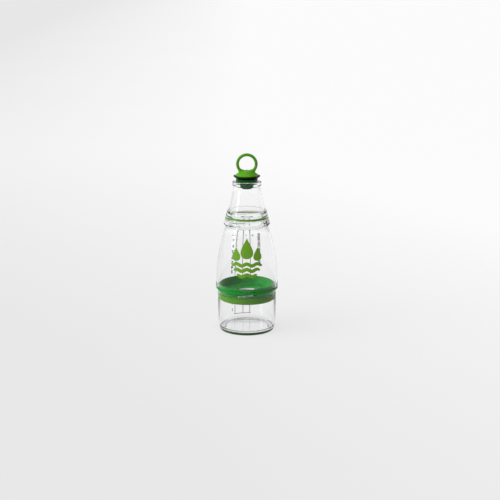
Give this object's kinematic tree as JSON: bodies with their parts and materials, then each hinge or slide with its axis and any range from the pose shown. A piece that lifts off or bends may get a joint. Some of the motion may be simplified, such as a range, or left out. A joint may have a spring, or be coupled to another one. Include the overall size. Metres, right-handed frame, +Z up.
{
  "type": "salad dressing shaker bottle",
  "caption": "Clear bell-shaped shaker bottle with a screw-on cup, green grinder insert, screw-on conical neck and a green ring-handled stopper.",
  "frame": {"origin": "centre of the foot, on the surface the bottle stands on", "axes": "+Z up along the bottle's axis; the ring handle lies in the XZ plane and faces -Y, the side with the motif"},
  "size_m": [0.0768, 0.0768, 0.2203],
  "materials": {
    "clear_plastic": "clear, polished moulding",
    "insert_plastic": "semi-gloss green moulding",
    "green_silicone": "satin olive-green silicone",
    "plug_silicone": "glossy dark green silicone",
    "lip_rubber": "thin blackish green silicone",
    "cap_plastic": "satin yellow-green moulding"
  },
  "bodies": {
    "cup": {"cup": "clear_plastic"},
    "cup_seal": {"cup_seal_band": "green_silicone"},
    "insert": {"grinder_insert": "insert_plastic", "grinder_ring": "insert_plastic"},
    "body_seal": {"body_gasket": "green_silicone"},
    "body": {"body": "clear_plastic"},
    "neck_seal": {"neck_seal_ring": "green_silicone"},
    "neck": {"neck": "clear_plastic"},
    "stopper": {"stopper_plug": "plug_silicone", "stopper_seal_ring": "green_silicone", "stopper_lip_seal": "lip_rubber", "stopper_cap": "cap_plastic"}
  },
  "joints": [
    {"name": "insert_lift", "type": "slide", "parent": "cup", "child": "cup_seal", "axis": [0, 0, 1], "range_m": [0, 0.0148]},
    {"name": "insert_turn", "type": "hinge", "parent": "cup_seal", "child": "insert", "pos_m": [0, 0, 0.05], "axis": [0, 0, 1], "range_deg": [0, 240]},
    {"name": "body_lift", "type": "slide", "parent": "insert", "child": "body_seal", "axis": [0, 0, 1], "range_m": [0, 0.0051]},
    {"name": "body_turn", "type": "hinge", "parent": "body_seal", "child": "body", "pos_m": [0, 0, 0.057], "axis": [0, 0, 1], "range_deg": [0, 180]},
    {"name": "neck_lift", "type": "slide", "parent": "body", "child": "neck_seal", "axis": [0, 0, 1], "range_m": [0, 0.0139]},
    {"name": "neck_turn", "type": "hinge", "parent": "neck_seal", "child": "neck", "pos_m": [0, 0, 0.14], "axis": [0, 0, 1], "range_deg": [0, 330]},
    {"name": "stopper_pull", "type": "slide", "parent": "neck", "child": "stopper", "axis": [0, 0, 1], "range_m": [0, 0.04]}
  ],
  "couplings": [
    {"joint": "insert_lift", "follows": "insert_turn", "m_per_rad": 0.0035014},
    {"joint": "body_lift", "follows": "body_turn", "m_per_rad": 0.0015915},
    {"joint": "neck_lift", "follows": "neck_turn", "m_per_rad": 0.0023873}
  ]
}
